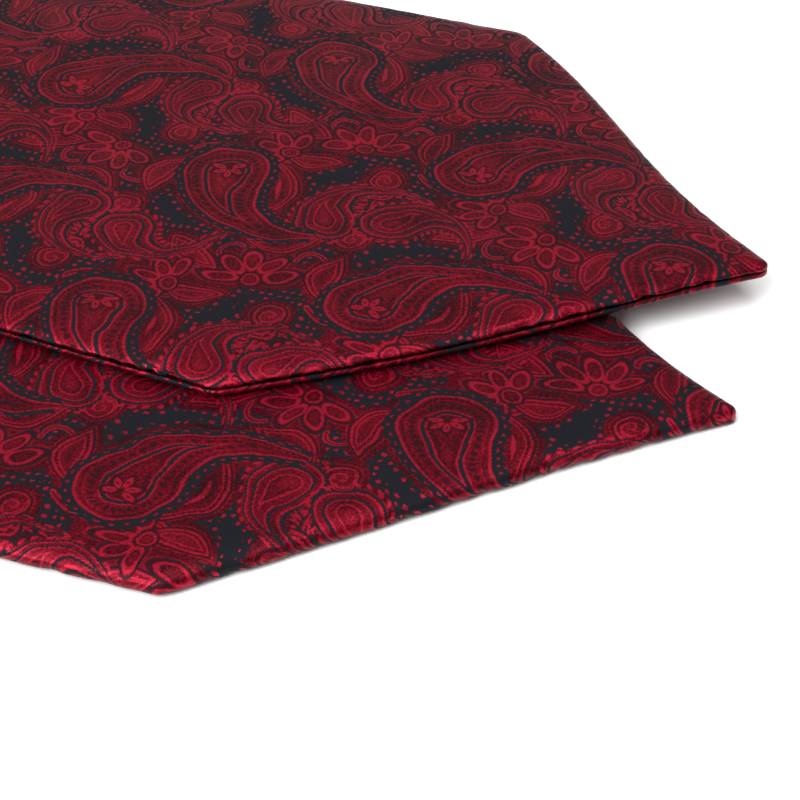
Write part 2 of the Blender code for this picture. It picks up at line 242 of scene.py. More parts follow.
# Where the motifs of one half of the repeat stand. The other half has the same ones in mirror image.
BIG_PAISLEY = {"at": (19.5, 23.0), "turn": -16.0, "length": 45.0, "width": 18.0, "hook": 0.034}
FAN = {
    "at": (19.5, 23.0), "turn": -16.0, "back": 15.0, "petals": 7, "spread": 2, "reach": 2.2, "width": 0.75,
}
HOOKED_PAISLEYS = (
    {"at": (38.5, 12.5), "turn": 150.0, "length": 27.0, "width": 12.0, "hook": -0.09},
    {"at": (10.5, 43.5), "turn": -30.0, "length": 26.0, "width": 11.5, "hook": 0.095},
)
FLOWERS = (
    {"at": (38.0, 43.0), "turn": 160.0, "back": 0.0, "petals": 9, "spread": 2, "reach": 5.9, "width": 1.75},
    {"at": (24.5, 50.5), "turn": 100.0, "back": 0.0, "petals": 9, "spread": 2, "reach": 5.2, "width": 1.6},
)
LEAVES = (
    {"at": (28.5, 12.0), "turn": -18.0, "length": 22.0, "width": 7.6, "curve": 0.02},
    {"at": (23.0, 39.5), "turn": -62.0, "length": 15.0, "width": 6.0, "curve": -0.02},
    {"at": (39.0, 29.0), "turn": 60.0, "length": 16.0, "width": 7.0, "curve": 0.03},
    {"at": (3.0, 15.0), "turn": 8.0, "length": 15.0, "width": 6.0, "curve": -0.03},
    {"at": (30.5, 0.0), "turn": 80.0, "length": 12.0, "width": 5.4, "curve": 0.04},
)
SCROLLS = (
    {"at": (48.5, 22.0), "turn": 0.0, "radius": 3.4, "pitch": 1.7},
    {"at": (2.5, 29.0), "turn": 90.0, "radius": 3.2, "pitch": 1.7},
    {"at": (0.5, 47.0), "turn": 200.0, "radius": 3.0, "pitch": 1.7},
    {"at": (47.0, 0.5), "turn": 100.0, "radius": 3.2, "pitch": 1.7},
)
CROOKS = (
    {"at": (46.5, 34.0), "turn": 200.0, "radius": 3.0, "half_turn": 2.0},
    {"at": (32.0, 22.5), "turn": 40.0, "radius": 2.6, "half_turn": 1.9},
    {"at": (30.5, 36.0), "turn": 120.0, "radius": 2.6, "half_turn": 1.7},
)
STEMS = (
    {"at": (46.5, 11.0), "turn": 10.0, "length": 24.0, "sway": 2.6},
    {"at": (2.0, 37.0), "turn": -15.0, "length": 22.0, "sway": 2.2},
    {"at": (17.0, 2.0), "turn": 80.0, "length": 24.0, "sway": 2.2},
)
PETAL_STRETCH = 2.1
STEM_SLOPE = 0.8
HEAD_RADIUS = 1.8
SCALLOP_RUN = 2.4
SCALLOP_DEPTH = 0.7
SCALLOPS_OUT = 1.3
BEAD_PITCH = 1.9
BEAD_ROW_OUT = 1.5
DARK_BEADS_IN = 2.7
DOTS_OUT = 3.1
DOTS_WIDTH = 0.6
DOT_RADIUS = 0.4
BEAD_RADIUS = 0.42
DARK_BEAD_RADIUS = 0.5
SCROLL_LINE_INSET = 0.7

# The colours of the weave by tone: near-black ground, wine fill, red outlines.
TONE_COLOURS = (
    (0.0, (0.0070, 0.0076, 0.0105)),
    (0.17, (0.026, 0.0020, 0.0050)),
    (0.34, (0.066, 0.0012, 0.0055)),
    (0.5, (0.122, 0.0014, 0.0088)),
    (0.66, (0.155, 0.0022, 0.0110)),
    (1.0, (0.310, 0.0065, 0.0250)),
)

# The gloss of the yarns: the ground is matt, and a yarn is fully red from a tone of a third up.
RED_RISE = 3.0
RED_METALLIC = 0.6
RED_COAT = 0.06
GROUND_ROUGHNESS = 0.5
RED_SMOOTHER = 0.12
CLOTH_LOOKS = {
    "Specular IOR Level": 0.06,
    "Coat Roughness": 0.36,
    "Sheen Weight": 0.015,
    "Sheen Roughness": 0.4,
    "Sheen Tint": (1.0, 0.3, 0.4, 1.0),
}

# The weave's twill, grain and clouding, and how loosely the motifs are drawn.
YARN_STEP = 0.28
TWILL_PITCH = 0.55
TWILL_TONE = 0.05
GRAIN_TONE = 0.42
GRAIN_PER_MM = 1.7
CLOUD_TONE = 0.3
CLOUD_PER_MM = 0.12
NOISE_DETAIL = 1.0
DRAWN_LOOSELY = 1.3
DRAWN_PER_MM = 0.11
TWILL_RELIEF = 0.3
RELIEF_HEIGHT = 0.05
RELIEF_STRENGTH = 0.6
REPEAT_SHIFTS = {"upper_blade": (0.0, 0.0), "lower_blade": (31.0, 12.0), "neckband": (12.0, 5.0)}

# The stitches that hold the knife pleats where a blade meets the neckband.
STITCH_LENGTH = 2.1
STITCH_PITCH = 3.3
STITCH_RADIUS = 0.26
STITCH_ROWS_ALONG = (294.6, 297.2)
STITCH_ROW_HALF_WIDTH = 17.5
PLEAT_STITCHES_FROM = 258.0
PLEAT_STITCHES_TO = 291.0
PLEAT_STITCHES_BESIDE = 0.9
STITCH_OFF_ROW = 0.12
STITCH_OFF_PLEAT = 0.08
STITCH_ALONG_ROW = 0.2
STITCH_SEED = 5
STITCH_SIDES = 10
STITCH_RINGS = 6
THREAD_PER_METRE = 1400.0
# The thread's colours, from the painted shade between its twisted plies to the painted highlight on them.
THREAD_SHADE_TO_HIGHLIGHT = ((0.0, (0.07, 0.004, 0.012)), (1.0, (0.20, 0.010, 0.028)))
THREAD_LOOKS = {"Roughness": 0.6, "Specular IOR Level": 0.1}
UPWARD = Vector((0.0, 0.0, 1.0))
LOOK_DOWN_FROM = 100.0


def smooth(x):
    """0 below 0, 1 above 1, and a soft S between."""
    x = np.clip(x, 0.0, 1.0)
    return x * x * (3.0 - 2.0 * x)


def soft_min(a, b, softness):
    """The lesser of two values, rounded over where they cross."""
    h = np.clip(0.5 + 0.5 * (b - a) / softness, 0.0, 1.0)
    return b + (a - b) * h - softness * h * (1.0 - h)


def direction(angle):
    return np.array([math.cos(angle), math.sin(angle)])


class Leg:
    """The centre line of one half of the scarf: straight down the blade, then one bend to the fold."""

    def __init__(self, shoulders, heading, end, end_heading, edges):
        self.edges = edges
        start = np.array(shoulders) + NARROWING_FROM * direction(heading)
        bend_end = np.array(end) - FOLD_STRAIGHT * direction(end_heading)
        span = np.linalg.norm(bend_end - start)
        reach = span * BEND_REACH
        leaving = start + reach * direction(heading)
        arriving = bend_end - reach * direction(end_heading)
        u = np.linspace(0.0, 1.0, int(span / LINE_STEP))[:, None]
        bend = sum(
            math.comb(3, k) * u**k * (1.0 - u) ** (3 - k) * handle
            for k, handle in enumerate((start, leaving, arriving, bend_end))
        )
        blade = np.linspace(-POINT_DEPTH, NARROWING_FROM, int((NARROWING_FROM + POINT_DEPTH) / LINE_STEP))
        before = np.array(shoulders) + blade[:, None] * direction(heading)
        last = np.linspace(0.0, FOLD_STRAIGHT, int(FOLD_STRAIGHT / LINE_STEP))
        after = bend_end + last[:, None] * direction(end_heading)
        points = np.concatenate([before[:-1], bend, after[1:]])
        steps = np.linalg.norm(np.diff(points, axis=0), axis=1)
        self.stations = np.concatenate([[0.0], np.cumsum(steps)]) - POINT_DEPTH
        self.points = points
        ahead = np.gradient(points, axis=0)
        self.headings = np.unwrap(np.arctan2(ahead[:, 1], ahead[:, 0]))
        self.length = self.stations[-1]

    def place(self, along, across):
        """The plan position of a place on the leg, with the edges of its point off their straight lines."""
        down_point = np.clip((along + POINT_DEPTH) / POINT_DEPTH, 1e-3, 1.0)
        near, far = (
            edge["bow"] * np.sin(math.pi * down_point) - edge["sway"] * np.sin(2.0 * math.pi * down_point)
            for edge in (self.edges["near"], self.edges["far"])
        )
        moved = np.where(across < 0.0, far, near)
        across = across * (1.0 + moved / (0.5 * SHOULDER_WIDTH * down_point))
        x = np.interp(along, self.stations, self.points[:, 0])
        y = np.interp(along, self.stations, self.points[:, 1])
        heading = np.interp(along, self.stations, self.headings)
        return np.stack([x - across * np.sin(heading), y + across * np.cos(heading)], axis=-1)

    def find(self, place):
        """The along and across of the nearest place on the centre line."""
        flat = place.reshape(-1, 2)
        parts = np.array_split(flat, SEARCH_PARTS)
        nearest = [((part[:, None, :] - self.points) ** 2).sum(-1).argmin(-1) for part in parts]
        nearest = np.concatenate(nearest).reshape(place.shape[:-1])
        heading = self.headings[nearest]
        offset = place - self.points[nearest]
        ahead = offset[..., 0] * np.cos(heading) + offset[..., 1] * np.sin(heading)
        across = -offset[..., 0] * np.sin(heading) + offset[..., 1] * np.cos(heading)
        return self.stations[nearest] + ahead, across


POINT_SLOPE = 0.5 * SHOULDER_WIDTH / POINT_DEPTH
POINT_ANGLE = math.atan(POINT_SLOPE)
TIP_CENTRE = -POINT_DEPTH + TIP_RADIUS / math.sin(POINT_ANGLE)
TIP_TANGENT = TIP_CENTRE - TIP_RADIUS * math.sin(POINT_ANGLE)
TIP_FRONT = TIP_CENTRE - TIP_RADIUS


def side_half_width(along):
    """Half the width behind the shoulders, where the blade narrows into the band."""
    blade = 0.5 * SHOULDER_WIDTH - np.maximum(along, 0.0) * math.tan(SIDE_TAPER)
    share = smooth((along - NARROWING_FROM) / (BAND_FROM - NARROWING_FROM))
    return blade + (0.5 * BAND_WIDTH - blade) * share


def half_width(along):
    """Half the width of a leg, with the rounded tip and the softened shoulders."""
    point = (along + POINT_DEPTH) * POINT_SLOPE
    tip = np.sqrt(np.maximum(TIP_RADIUS**2 - (along - TIP_CENTRE) ** 2, 0.0))
    body = soft_min(point, side_half_width(along), SHOULDER_SOFTNESS)
    return np.where(along < TIP_TANGENT, tip, body)


def edge_distance(along, across):
    """How far a place lies inside a leg's outline; below zero outside it."""
    side = side_half_width(along) - np.abs(across)
    point = ((along + POINT_DEPTH) * POINT_SLOPE - np.abs(across)) * math.cos(POINT_ANGLE)
    inside = soft_min(point, side, SHOULDER_SOFTNESS)
    rounded = TIP_CENTRE - along > np.abs(across) * math.tan(POINT_ANGLE)
    return np.where(rounded, TIP_RADIUS - np.hypot(along - TIP_CENTRE, across), inside)


def pleat_rise(share):
    """The height of the lapped strips across the band: each rises to its fold and drops to the next."""
    lines = np.array((-1.0,) + PLEAT_LINES + (1.0,))
    height = np.zeros_like(share)
    for start, end in zip(lines[:-1], lines[1:]):
        rising = (share - start - PLEAT_LAP) / (end - start - 2.0 * PLEAT_LAP)
        inside = (share >= start + PLEAT_LAP) & (share <= end - PLEAT_LAP)
        height = np.where(inside, rising, height)
        falling = (share > end - PLEAT_LAP) & (share < end + PLEAT_LAP)
        height = np.where(falling, 0.5 - 0.5 * (share - end) / PLEAT_LAP, height)
    return height


def pleat_depth(along):
    """How high the pleats stand: nothing in the blade, and their full step at the band."""
    return PLEAT_STEP * smooth((along - BAND_FROM + PLEATS_FADE) / PLEATS_FADE)


def underside_pleat_depth(along):
    """On the lower leg's top the pleats die away again before the fold."""
    fading = smooth((along - UNDERSIDE_PLEATS_FROM) / (UNDERSIDE_PLEATS_END - UNDERSIDE_PLEATS_FROM))
    return pleat_depth(along) * (1.0 - fading)


def no_pleats(along):
    return np.zeros_like(along)


FOLD_NORMAL_ANGLE = 0.5 * (UPPER_FOLD_HEADING + LOWER_FOLD_HEADING)
FOLD_SKEW = math.tan(FOLD_NORMAL_ANGLE - LOWER_FOLD_HEADING)
FOLD_ALONG = direction(FOLD_NORMAL_ANGLE + 0.5 * math.pi)
UPPER_FOLD_AT = FOLD_AT - math.pi * FOLD_RADIUS * FOLD_SKEW * FOLD_ALONG

LOWER = Leg(LOWER_SHOULDERS, math.pi + LOWER_YAW, FOLD_AT, LOWER_FOLD_HEADING, LOWER_EDGES)
UPPER = Leg((0.0, 0.0), math.pi, UPPER_FOLD_AT, UPPER_FOLD_HEADING, UPPER_EDGES)


def support_height(along, across):
    """The height of the upper leg's underside: over the lower leg, or sinking past its outline."""
    lower_along, lower_across = LOWER.find(UPPER.place(along, across))
    outside = np.maximum(-edge_distance(lower_along, lower_across), 0.0)
    banded = smooth((along - NARROWING_FROM) / (BAND_FROM - NARROWING_FROM))
    reach = BLADE_SAG_OVER + (BAND_SAG_OVER - BLADE_SAG_OVER) * banded
    lower_top = BLADE_THICKNESS + underside_pleat_depth(lower_along) + LAYER_GAP
    near_fold = smooth(1.0 - (UPPER.length - along) / FOLD_RISE_OVER)
    fold_rise = (2.0 * FOLD_RADIUS - LAYER_GAP) * near_fold
    lift = TIP_LIFT * smooth(-(along + TIP_LIFT_FROM) / TIP_LIFT_OVER)
    return lower_top * (1.0 - smooth(outside / reach)) + fold_rise + lift


def on_floor(along, across):
    return np.zeros_like(across)


def crease_relief(creases, along, across):
    """The height that the creases give at each place."""
    relief = np.zeros_like(along)
    for crease in creases:
        turn = math.radians(crease["heading"])
        x = along - crease["along"]
        y = across - crease["across"]
        down = (x * math.cos(turn) + y * math.sin(turn)) / crease["length"]
        beside = (-x * math.sin(turn) + y * math.cos(turn)) / crease["width"]
        relief += crease["height"] * np.exp(-(down**2) - beside**2)
    return relief


def pucker_relief(puckers, arc, inward):
    """The height that the pull of a seam gives, from the place along the seam and the way in from it."""
    random = np.random.default_rng(puckers["seed"])
    relief = np.zeros_like(arc)
    at = arc.min()
    while at < arc.max():
        at += random.uniform(*puckers["spacing"])
        length = random.uniform(*puckers["length"])
        width = random.uniform(*puckers["width"])
        depth = random.uniform(*puckers["depth"])
        lean = random.uniform(-PUCKERS_LEAN, PUCKERS_LEAN)
        beside = (arc - at - lean * inward) / (width * (1.0 + inward / length))
        relief -= depth * np.exp(-(beside**2)) * (1.0 - smooth(inward / length))
    return relief


def grid_normals(places):
    """Unit normals of a grid of points, from the points beside each."""
    down = np.gradient(places, axis=0)
    over = np.gradient(places, axis=1)
    normal = np.cross(over, down)
    return normal / np.maximum(np.linalg.norm(normal, axis=-1, keepdims=True), 1e-9)


def blade_rows():
    """Stations along a blade: close round the tip and in the point, wider behind."""
    turns = np.linspace(0.0, 0.5 * math.pi, ROLL_TURNS)
    tip = TIP_FRONT + TIP_ROWS_FROM + TIP_ROWS_RUN * (1.0 - np.cos(turns))
    fine = np.arange(tip[-1] + FINE_STEP, FINE_ROWS_TO, FINE_STEP)
    blade = np.arange(fine[-1] + BLADE_STEP, NARROWING_FROM, BLADE_STEP)
    neck = np.linspace(blade[-1] + NECK_STEP, BAND_FROM - 0.5 * JOIN_SHOWS, NECK_ROWS)
    return np.concatenate([tip, fine, blade, neck])


def fold_columns(fold, inset):
    """Places round a rolled edge, from under it to its top: distance in from the outline, and height."""
    tuck = np.linspace(-0.5 * math.pi, 0.0, TUCK_TURNS)[:-1]
    roll = np.linspace(0.0, 0.5 * math.pi, ROLL_TURNS)
    tucked_in = inset + fold["tuck"] * (1.0 - np.cos(tuck))
    tucked_height = fold["widest"] + (fold["widest"] - fold["foot"]) * np.sin(tuck)
    rolled_in = inset + fold["roll"] * (1.0 - np.cos(roll))
    rolled_height = fold["widest"] + (fold["top"] - fold["widest"]) * np.sin(roll)
    return np.concatenate([tucked_in, rolled_in]), np.concatenate([tucked_height, rolled_height])


def cloth_run(places):
    """The distance over the cloth from the middle column, along each row."""
    steps = np.linalg.norm(np.diff(places, axis=1), axis=-1)
    run = np.concatenate([np.zeros((len(places), 1)), np.cumsum(steps, axis=1)], axis=1)
    middle = places.shape[1] // 2
    return run - run[:, middle : middle + 1]


def piece_of(name, data):
    """A new object in the scene, with this mesh, camera or light."""
    piece = bpy.data.objects.new(name, data)
    bpy.context.scene.collection.objects.link(piece)
    return piece


def mesh_of(name, bm):
    """A new mesh with all that is in a bmesh, which ends here."""
    mesh = bpy.data.meshes.new(name)
    bm.to_mesh(mesh)
    bm.free()
    return mesh


def make_sheet(name, places, cloth, facing_up=True, tube=False):
    """A piece from a grid of places, with the size of the flat cloth as its UV map."""
    rows, columns = places.shape[:2]
    bm = bmesh.new()
    bmesh.ops.create_grid(bm, x_segments=columns - 1, y_segments=rows - 1, size=1.0)
    mesh = mesh_of(name, bm)
    grid = np.empty(len(mesh.vertices) * 3)
    mesh.vertices.foreach_get("co", grid)
    grid = grid.reshape(-1, 3)
    column = np.rint((grid[:, 0] + 1.0) * 0.5 * (columns - 1)).astype(int)
    row = np.rint((grid[:, 1] + 1.0) * 0.5 * (rows - 1)).astype(int)
    mesh.vertices.foreach_set("co", ((places[row, column] - PLAN_ORIGIN) * MM).ravel())
    corners = np.empty(len(mesh.loops), dtype=int)
    mesh.loops.foreach_get("vertex_index", corners)
    layer = mesh.uv_layers.new(name="cloth")
    layer.uv.foreach_set("vector", cloth[row, column][corners].ravel())
    bm = bmesh.new()
    bm.from_mesh(mesh)
    bmesh.ops.remove_doubles(bm, verts=bm.verts, dist=MERGE_WITHIN * MM)
    if tube:
        ends = [edge for edge in bm.edges if edge.is_boundary]
        caps = bmesh.ops.holes_fill(bm, edges=ends, sides=0)["faces"]
        bmesh.ops.recalc_face_normals(bm, faces=bm.faces)
        bmesh.ops.delete(bm, geom=caps, context="FACES_ONLY")
    else:
        bm.normal_update()
        upward = sum(face.normal.z * face.calc_area() for face in bm.faces)
        if (upward > 0.0) != facing_up:
            bmesh.ops.reverse_faces(bm, faces=bm.faces)
    bm.to_mesh(mesh)
    bm.free()
    mesh.shade_smooth()
    return piece_of(name, mesh)


def blade_panel(name, leg, base, fold, inset, pleats, creases, puckers, facing_up):
    """One panel of a blade, rolled at its edges. An under panel has its heights turned over."""
    stations = blade_rows()
    edge_in, edge_height = fold_columns(fold, inset)
    inner = np.arange(1.0, 0.0, -ACROSS_STEP / (0.5 * SHOULDER_WIDTH))[1:]
    shares = np.concatenate([inner, [0.0], -inner[::-1]])
    half = half_width(stations)[:, None]
    # An edge of the point runs at a slant, so it is longer than its share of the centre line.
    lean = 1.0 / np.where(stations < 0.0, math.cos(POINT_ANGLE), 1.0)[:, None]
    most = edge_in[-1] * lean
    scale = np.minimum(1.0, EDGES_SHARE * half / most)
    near = half - edge_in * lean * scale
    middle = shares[None, :] * (half - most * scale)
    across = np.concatenate([near, middle, -near[:, ::-1]], axis=1)
    along = np.broadcast_to(stations[:, None], across.shape)
    tucked = np.concatenate([edge_height, np.full(len(shares), fold["top"]), edge_height[::-1]])
    inward = np.maximum(edge_distance(along, across) - inset, 0.0)
    turned = np.clip(1.0 - inward / fold["roll"], 0.0, 1.0)
    rolled = fold["widest"] + (fold["top"] - fold["widest"]) * np.sqrt(1.0 - turned**2)
    height = np.where(tucked < fold["widest"], tucked, rolled)
    height -= fold["fall"] * np.exp(-inward / EDGE_FALL_OVER) * smooth(inward / fold["roll"])
    pleated = pleats(along) * pleat_rise(across / half_width(along)) * smooth(inward / fold["roll"])
    if not facing_up:
        height = fold["top"] + fold["foot"] - height
        pleated = 0.0
    plan = leg.place(along, across)
    places = np.concatenate([plan, (base(along, across) + height + pleated)[..., None]], axis=-1)
    run = cloth_run(places)
    from_seam = np.minimum(run - run[:, :1], run[:, -1:] - run)
    pull = np.where(across > 0.0, NEAR_PULL, FAR_PULL) * smooth(np.abs(along) / SHOULDER_CALM)
    relief = crease_relief(creases, along, across) * smooth(inward / CREASES_FADE_IN)
    relief += pull * pucker_relief(puckers, along * lean, from_seam)
    normals = grid_normals(places)
    upright = np.where(normals[..., 2:].sum() > 0.0, 1.0, -1.0) * (1.0 if facing_up else -1.0)
    places = places + normals * upright * relief[..., None]
    cloth = np.stack([-along, run], axis=-1)
    return make_sheet(name, places, cloth, facing_up)


def band_section():
    """Places round the neckband: near edge, outer face, far edge, inner face; and the share of its wall."""
    half = 0.5 * BAND_WIDTH
    turns = np.linspace(-0.5 * math.pi, 0.5 * math.pi, 2 * BAND_TURNS + 1)
    roll = np.where(turns < 0.0, BAND_EDGE["tuck"], BAND_EDGE["roll"])
    near = half - roll * (1.0 - np.cos(turns))
    rising = np.where(turns < 0.0, BAND_EDGE["widest"], 1.0 - BAND_EDGE["widest"]) * np.sin(turns)
    share = BAND_EDGE["widest"] + rising
    face = np.arange(near[-1] - BAND_ACROSS_STEP, -near[-1], -BAND_ACROSS_STEP)
    back = np.linspace(-near[0], near[0], BAND_BACK_COLUMNS)[1:-1]
    across = np.concatenate([near, face, -near[::-1], back, near[:1]])
    outward = np.concatenate([share, np.ones_like(face), share[::-1], np.zeros_like(back), share[:1]])
    return across, outward


def skewed_along(leg, distance_to_fold, across):
    """Stations that turn from square across the leg to in line with the fold as the fold comes near."""
    skew = smooth(1.0 - (distance_to_fold - FOLD_MARGIN) / (FOLD_STRAIGHT - FOLD_MARGIN))
    lean = FOLD_SKEW if leg is LOWER else -FOLD_SKEW
    return leg.length - distance_to_fold - across * lean * skew


def neckband():
    """The neckband from the lower blade, round the fold, to the upper blade, as a flat pleated tube."""
    across, outward = band_section()
    inward = 1.0 - outward
    rise = pleat_rise(across / (0.5 * BAND_WIDTH))
    rings = []
    run = LOWER.length - BAND_FROM - 0.5 * JOIN_SHOWS
    for distance in np.linspace(run, FOLD_MARGIN, int(run / BAND_STEP)):
        along = skewed_along(LOWER, distance, across)
        height = inward * (BLADE_THICKNESS + underside_pleat_depth(along) * rise)
        rings.append(np.column_stack([LOWER.place(along, across), height]))
    slide = across / math.cos(FOLD_NORMAL_ANGLE - LOWER_FOLD_HEADING)
    for turned in np.linspace(0.0, 1.0, BAND_FOLD_STEPS):
        turn = math.pi * turned
        radius = FOLD_RADIUS + outward * (BLADE_THICKNESS + turned * PLEAT_STEP * rise)
        along_fold = slide - FOLD_RADIUS * turn * FOLD_SKEW
        plan = FOLD_AT + radius[:, None] * math.sin(turn) * direction(FOLD_NORMAL_ANGLE)
        plan = plan + along_fold[:, None] * FOLD_ALONG
        rings.append(np.column_stack([plan, BLADE_THICKNESS + FOLD_RADIUS - radius * math.cos(turn)]))
    run = UPPER.length - BAND_FROM - 0.5 * JOIN_SHOWS
    for distance in np.linspace(FOLD_MARGIN, run, int(run / BAND_STEP)):
        along = skewed_along(UPPER, distance, across)
        wall = outward * (BLADE_THICKNESS + pleat_depth(along) * rise)
        rings.append(np.column_stack([UPPER.place(along, across), support_height(along, across) + wall]))
    places = np.array(rings)
    middle = places[:, len(across) // 2]
    travelled = np.concatenate([[0.0], np.cumsum(np.linalg.norm(np.diff(middle, axis=0), axis=-1))])
    cloth = np.stack(np.broadcast_arrays(travelled[:, None] + BAND_FROM, cloth_run(places)), axis=-1)
    return make_sheet("pleated_neckband", places, cloth, tube=True)


class Value:
    """A number that changes over the cloth, so that a motif's formula reads as plain arithmetic."""

    def __init__(self, tree, socket):
        self.tree = tree
        self.socket = socket

    def math(self, operation, *others):
        node = self.tree.nodes.new("ShaderNodeMath")
        node.operation = operation
        for socket, value in zip(node.inputs, (self, *others)):
            if isinstance(value, Value):
                self.tree.links.new(value.socket, socket)
            else:
                socket.default_value = value
        return Value(self.tree, node.outputs["Value"])

    def __add__(self, other):
        return self.math("ADD", other)

    def __sub__(self, other):
        return self.math("SUBTRACT", other)

    def __mul__(self, other):
        return self.math("MULTIPLY", other)


def sine(value):
    return value.math("SINE")


def cosine(value):
    return value.math("COSINE")


def size(value):
    return value.math("ABSOLUTE")


def least(one, other):
    return one.math("MINIMUM", other)


def greatest(one, other):
    return one.math("MAXIMUM", other)


def angle(aside, ahead):
    """The angle from straight ahead."""
    return aside.math("ARCTAN2", ahead)


def reach(x, y):
    """The distance to a place from the zero point."""
    return x.math("MULTIPLY_ADD", x, y * y).math("SQRT")


def wrapped(value, period):
    """The value brought to within half a period of zero."""
    return value.math("WRAP", 0.5 * period, -0.5 * period)


def new_group(name, inputs, outputs):
    """A node group, the sockets that come into it and the sockets that leave it."""
    group = bpy.data.node_groups.new(name, "ShaderNodeTree")
    for in_out, sockets in (("INPUT", inputs), ("OUTPUT", outputs)):
        for socket, kind in sockets.items():
            group.interface.new_socket(socket, in_out=in_out, socket_type=f"NodeSocket{kind}")
    return group, group.nodes.new("NodeGroupInput").outputs, group.nodes.new("NodeGroupOutput").inputs


def use_group(tree, group, given):
    """What a node group gives, with the sockets that it is given, by name."""
    node = tree.nodes.new("ShaderNodeGroup")
    node.node_tree = group
    for name, socket in given.items():
        tree.links.new(socket, node.inputs[name])
    return node.outputs


def ramp_at(factor, stops):
    """What a colour ramp gives. Each stop has its place on the ramp, its colour and its alpha."""
    ramp = factor.tree.nodes.new("ShaderNodeValToRGB")
    elements = ramp.color_ramp.elements
    while len(elements) < len(stops):
        elements.new(1.0)
    for element, (at, colour, alpha) in zip(elements, stops):
        element.position = at
        element.color = (*colour, alpha)
    factor.tree.links.new(factor.socket, ramp.inputs["Fac"])
    return ramp.outputs


def band_group(name, bands):
    """A node group for one table of bands: distance in, tone and cover out."""
    outputs = {"Tone": "Float", "Cover": "Float"}
    group, given, out = new_group(f"bands_{name.replace(' ', '_')}", {"Distance": "Float"}, outputs)
    first = bands[0][0]
    span = bands[-1][0] - first
    share = Value(group, given["Distance"]).math("MULTIPLY_ADD", 1.0 / span, -first / span)
    stops = [((at - first) / span, (tone, tone, tone), float(at < bands[-1][0])) for at, tone in bands]
    ramp = ramp_at(share, stops)
    group.links.new(ramp["Color"], out["Tone"])
    group.links.new(ramp["Alpha"], out["Cover"])
    return group


BAND_GROUPS = {name: band_group(name, bands) for name, bands in BANDS.items()}


def band_values(distance, bands):
    """The tone and the cover at a distance from an outline."""
    shown = use_group(distance.tree, BAND_GROUPS[bands], {"Distance": distance.socket})
    return Value(distance.tree, shown["Tone"]), Value(distance.tree, shown["Cover"])


def lay(tone, distance, bands):
    """Draws a motif's bands over the tones that are there."""
    shown, cover = band_values(distance, bands)
    mix = tone.tree.nodes.new("ShaderNodeMix")
    for name, value in (("Factor", cover), ("A", tone), ("B", shown)):
        tone.tree.links.new(value.socket, mix.inputs[name])
    return Value(tone.tree, mix.outputs["Result"])


def stand(place, motif):
    """A motif's own coordinates, its tip towards y. Its mirror image stands half a repeat further on."""
    along, across = place
    x = along - motif["at"][0]
    side = cosine(x * (2.0 * math.pi / REPEAT_ALONG)).math("SIGN")
    x = wrapped(x, 0.5 * REPEAT_ALONG)
    y = wrapped(across.math("MULTIPLY_ADD", side, -motif["at"][1]), REPEAT_ACROSS)
    c = math.cos(math.radians(motif["turn"]))
    s = math.sin(math.radians(motif["turn"]))
    return x.math("MULTIPLY_ADD", c, y * s), y.math("MULTIPLY_ADD", c, x * -s)


def paisley(place, motif):
    """Distance from the outline of a round body drawn out to a hooked tip, and the run along it."""
    x, y = stand(place, motif)
    body = 0.5 * motif["width"]
    y = y + (0.5 * motif["length"] - body)
    tangent = math.acos(body / (motif["length"] - body))
    r = reach(x, y)
    turn = size(wrapped(angle(x, y) - greatest(r - body, 0.0) * motif["hook"], 2.0 * math.pi))
    lean = greatest(turn * -1.0 + tangent, 0.0)
    outside = r * cosine(lean) - body
    run = r * sine(lean) - greatest(turn - tangent, 0.0) * body
    return outside, run


def leaf(place, motif):
    """Distance from the outline of a curved leaf with a point at each end."""
    x, y = stand(place, motif)
    square = y * y
    half = 0.5 * motif["width"]
    narrowing = square.math("MULTIPLY_ADD", half / (0.5 * motif["length"]) ** 2, -half)
    return size(square.math("MULTIPLY_ADD", motif["curve"], x)) + narrowing


def scroll(place, motif):
    """Distance from the line of a round scroll, and from its outer edge."""
    x, y = stand(place, motif)
    r = reach(x, y)
    pitch = motif["pitch"]
    line = size(wrapped(angle(x, y).math("MULTIPLY_ADD", -pitch / (2.0 * math.pi), r), pitch))
    return line, r - motif["radius"]


def flower(place, motif):
    """Distance from the outline of the nearest petal of a fan, and from the flower's middle."""
    x, y = stand(place, motif)
    y = y + motif["back"]
    step = 2.0 * math.pi / motif["petals"]
    r = reach(x, y)
    around = angle(x, y)
    number = (around * (1.0 / step)).math("ROUND")
    number = least(greatest(number, -motif["spread"]), motif["spread"])
    off = around - number * step
    out = (r * cosine(off) - motif["reach"]) * (1.0 / PETAL_STRETCH)
    return reach(out, r * sine(off)) - motif["width"], r


def crook(place, motif):
    """Distance from the line of a hooked stem with round ends."""
    x, y = stand(place, motif)
    past_end = greatest(size(angle(x, y)) - motif["half_turn"], 0.0) * motif["radius"]
    return reach(reach(x, y) - motif["radius"], past_end)


def stem(place, motif):
    """Distance from the line of an S-shaped stem."""
    x, y = stand(place, motif)
    bent = sine(y * (2.0 * math.pi / motif["length"])).math("MULTIPLY_ADD", motif["sway"], x)
    return reach(bent * STEM_SLOPE, greatest(size(y) - 0.5 * motif["length"], 0.0))


def beads(run, aside, bead):
    """Distance from the nearest of a row of beads."""
    return reach(wrapped(run, BEAD_PITCH), aside) - bead


